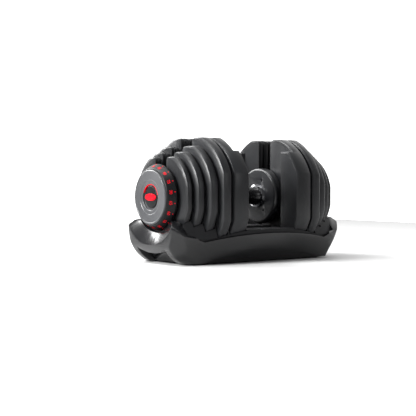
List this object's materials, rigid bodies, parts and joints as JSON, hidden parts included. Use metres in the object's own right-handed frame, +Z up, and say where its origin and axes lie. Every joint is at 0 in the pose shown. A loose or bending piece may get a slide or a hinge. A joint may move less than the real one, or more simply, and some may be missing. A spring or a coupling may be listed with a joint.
{
  "type": "adjustable dumbbell with storage tray",
  "caption": "Dial-adjustable dumbbell: nested notched weight plates at both ends of a rubber grip, number dials at the ends, resting in a moulded storage tray with a stepped rack.",
  "frame": {"origin": "middle of the tray's footprint on the floor", "axes": "+X along the handle towards the right-hand dial, +Y across the tray, +Z up"},
  "size_m": [0.444, 0.242, 0.253],
  "materials": {
    "tray_plastic": "satin-gloss moulded black",
    "rack_plastic": "matte textured black",
    "foot_rubber": "matte black rubber",
    "screw_steel": "black-oxide steel",
    "shaft_steel": "bright turned steel",
    "grip_rubber": "satin moulded rubber",
    "collar_chrome": "polished",
    "housing_plastic": "satin black",
    "selector_plastic": "glass-filled nylon, matte",
    "spring_steel": "bright wire",
    "dial_black": "satin black",
    "dial_grey": "satin mid grey",
    "dial_red": "printed and moulded red",
    "spindle_aluminium": "extruded, satin",
    "plate_plastic": "fine-textured dark grey",
    "weight_steel": "cut steel plate, hidden"
  },
  "bodies": {
    "tray": {"tray_shell": "tray_plastic", "tray_rack": "rack_plastic", "tray_base_cover": "rack_plastic", "tray_feet": "foot_rubber", "tray_screws": "screw_steel"},
    "handle": {"handle_tube": "shaft_steel", "axle_rod": "shaft_steel", "grip": "grip_rubber", "grip_collar_right": "collar_chrome", "housing_cover_right": "housing_plastic", "housing_back_right": "housing_plastic", "housing_screws_right": "screw_steel", "lock_spring_right": "spring_steel", "axle_nut_right": "screw_steel", "grip_collar_left": "collar_chrome", "housing_cover_left": "housing_plastic", "housing_back_left": "housing_plastic", "housing_screws_left": "screw_steel", "lock_spring_left": "spring_steel", "axle_nut_left": "screw_steel"},
    "dial_right": {"dial_band_right": "dial_black", "dial_face_right": "dial_grey", "dial_cap_right": "dial_black", "dial_arc_right": "dial_red", "dial_badge_right": "dial_red", "dial_numbers_right": "dial_red", "selector_spindle_right": "spindle_aluminium", "selector_discs_right": "selector_plastic", "lock_gear_right": "selector_plastic"},
    "lock_right": {"lock_slider_right": "selector_plastic"},
    "weight_a_right": {"plate_a_right": "plate_plastic", "plate_a_weights_right": "weight_steel"},
    "weight_b_right": {"plate_b_right": "plate_plastic", "plate_b_weights_right": "weight_steel"},
    "weight_c_right": {"plate_c_right": "plate_plastic", "plate_c_weights_right": "weight_steel"},
    "weight_d_right": {"plate_d_right": "plate_plastic", "plate_d_weights_right": "weight_steel"},
    "weight_e_right": {"plate_e_right": "plate_plastic", "plate_e_weights_right": "weight_steel"},
    "dial_left": {"dial_band_left": "dial_black", "dial_face_left": "dial_grey", "dial_cap_left": "dial_black", "dial_arc_left": "dial_red", "dial_badge_left": "dial_red", "dial_numbers_left": "dial_red", "selector_spindle_left": "spindle_aluminium", "selector_discs_left": "selector_plastic", "lock_gear_left": "selector_plastic"},
    "lock_left": {"lock_slider_left": "selector_plastic"},
    "weight_a_left": {"plate_a_left": "plate_plastic", "plate_a_weights_left": "weight_steel"},
    "weight_b_left": {"plate_b_left": "plate_plastic", "plate_b_weights_left": "weight_steel"},
    "weight_c_left": {"plate_c_left": "plate_plastic", "plate_c_weights_left": "weight_steel"},
    "weight_d_left": {"plate_d_left": "plate_plastic", "plate_d_weights_left": "weight_steel"},
    "weight_e_left": {"plate_e_left": "plate_plastic", "plate_e_weights_left": "weight_steel"}
  },
  "joints": [
    {"name": "lift", "type": "slide", "parent": "tray", "child": "handle", "axis": [0, 0, 1], "range_m": [0, 0.3]},
    {"name": "dial_right_turn", "type": "hinge", "parent": "handle", "child": "dial_right", "pos_m": [0.2, 0, 0.133], "axis": [1, 0, 0], "continuous": true},
    {"name": "lock_right_drop", "type": "slide", "parent": "handle", "child": "lock_right", "axis": [0, 0, -1], "range_m": [0, 0.004], "deforming": ["lock_spring_right"]},
    {"name": "weight_a_right_lift", "type": "slide", "parent": "tray", "child": "weight_a_right", "axis": [0, 0, 1], "range_m": [0, 0.3]},
    {"name": "weight_b_right_lift", "type": "slide", "parent": "tray", "child": "weight_b_right", "axis": [0, 0, 1], "range_m": [0, 0.3]},
    {"name": "weight_c_right_lift", "type": "slide", "parent": "tray", "child": "weight_c_right", "axis": [0, 0, 1], "range_m": [0, 0.3]},
    {"name": "weight_d_right_lift", "type": "slide", "parent": "tray", "child": "weight_d_right", "axis": [0, 0, 1], "range_m": [0, 0.3]},
    {"name": "weight_e_right_lift", "type": "slide", "parent": "tray", "child": "weight_e_right", "axis": [0, 0, 1], "range_m": [0, 0.3]},
    {"name": "dial_left_turn", "type": "hinge", "parent": "handle", "child": "dial_left", "pos_m": [-0.2, 0, 0.133], "axis": [-1, 0, 0], "continuous": true},
    {"name": "lock_left_drop", "type": "slide", "parent": "handle", "child": "lock_left", "axis": [0, 0, -1], "range_m": [0, 0.004], "deforming": ["lock_spring_left"]},
    {"name": "weight_a_left_lift", "type": "slide", "parent": "tray", "child": "weight_a_left", "axis": [0, 0, 1], "range_m": [0, 0.3]},
    {"name": "weight_b_left_lift", "type": "slide", "parent": "tray", "child": "weight_b_left", "axis": [0, 0, 1], "range_m": [0, 0.3]},
    {"name": "weight_c_left_lift", "type": "slide", "parent": "tray", "child": "weight_c_left", "axis": [0, 0, 1], "range_m": [0, 0.3]},
    {"name": "weight_d_left_lift", "type": "slide", "parent": "tray", "child": "weight_d_left", "axis": [0, 0, 1], "range_m": [0, 0.3]},
    {"name": "weight_e_left_lift", "type": "slide", "parent": "tray", "child": "weight_e_left", "axis": [0, 0, 1], "range_m": [0, 0.3]}
  ],
  "couplings": [
    {"joint": "lock_right_drop", "follows": "lift", "ratio": 0.013333},
    {"joint": "weight_a_right_lift", "follows": "lift", "ratio": 1},
    {"joint": "weight_b_right_lift", "follows": "lift", "ratio": 1},
    {"joint": "weight_c_right_lift", "follows": "lift", "ratio": 1},
    {"joint": "weight_d_right_lift", "follows": "lift", "ratio": 1},
    {"joint": "weight_e_right_lift", "follows": "lift", "ratio": 1},
    {"joint": "lock_left_drop", "follows": "lift", "ratio": 0.013333},
    {"joint": "weight_a_left_lift", "follows": "lift", "ratio": 1},
    {"joint": "weight_b_left_lift", "follows": "lift", "ratio": 1},
    {"joint": "weight_c_left_lift", "follows": "lift", "ratio": 1},
    {"joint": "weight_d_left_lift", "follows": "lift", "ratio": 1},
    {"joint": "weight_e_left_lift", "follows": "lift", "ratio": 1}
  ]
}
